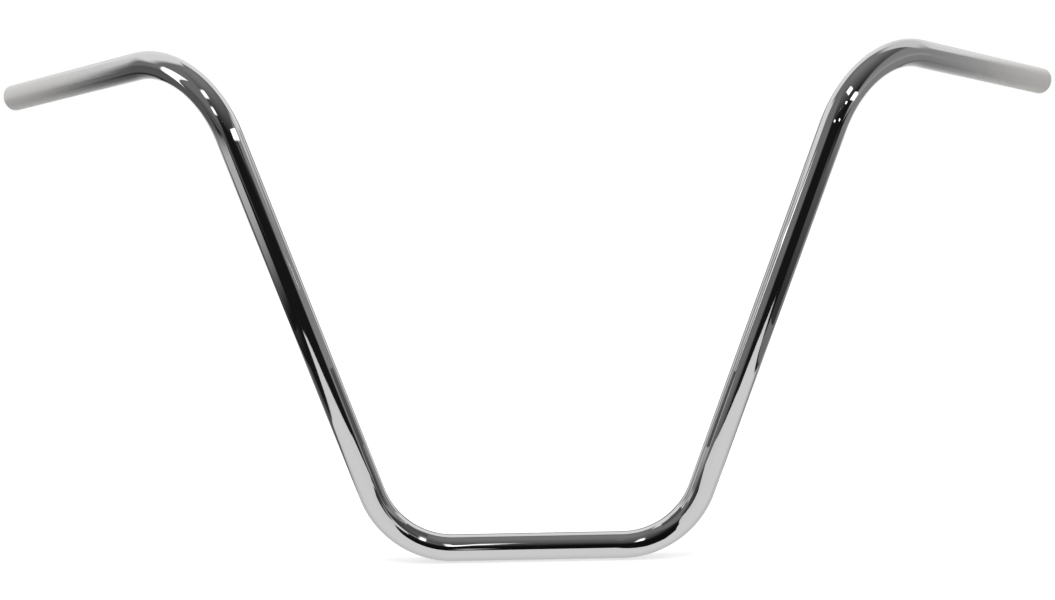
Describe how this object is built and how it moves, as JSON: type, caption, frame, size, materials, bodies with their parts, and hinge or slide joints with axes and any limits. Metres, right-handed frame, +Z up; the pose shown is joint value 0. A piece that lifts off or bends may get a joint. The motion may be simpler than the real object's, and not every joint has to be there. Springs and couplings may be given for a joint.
{
  "type": "ape hanger handlebar",
  "caption": "Tall motorcycle handlebar bent from a chromed steel tube, with a straight clamp section, raked risers, and grip ends that turn out, back and slightly down.",
  "frame": {"origin": "middle of the clamp straight, on the tube's centreline", "axes": "+X along the clamp straight towards the rider's left hand, +Y back towards the rider, +Z up in the plane of the risers"},
  "size_m": [0.919, 0.1759, 0.4211],
  "materials": {
    "chrome": "mirror chrome plating, fading to satin grey on the outer grip runs"
  },
  "bodies": {
    "root": {"handlebar_tube": "chrome"}
  },
  "joints": []
}
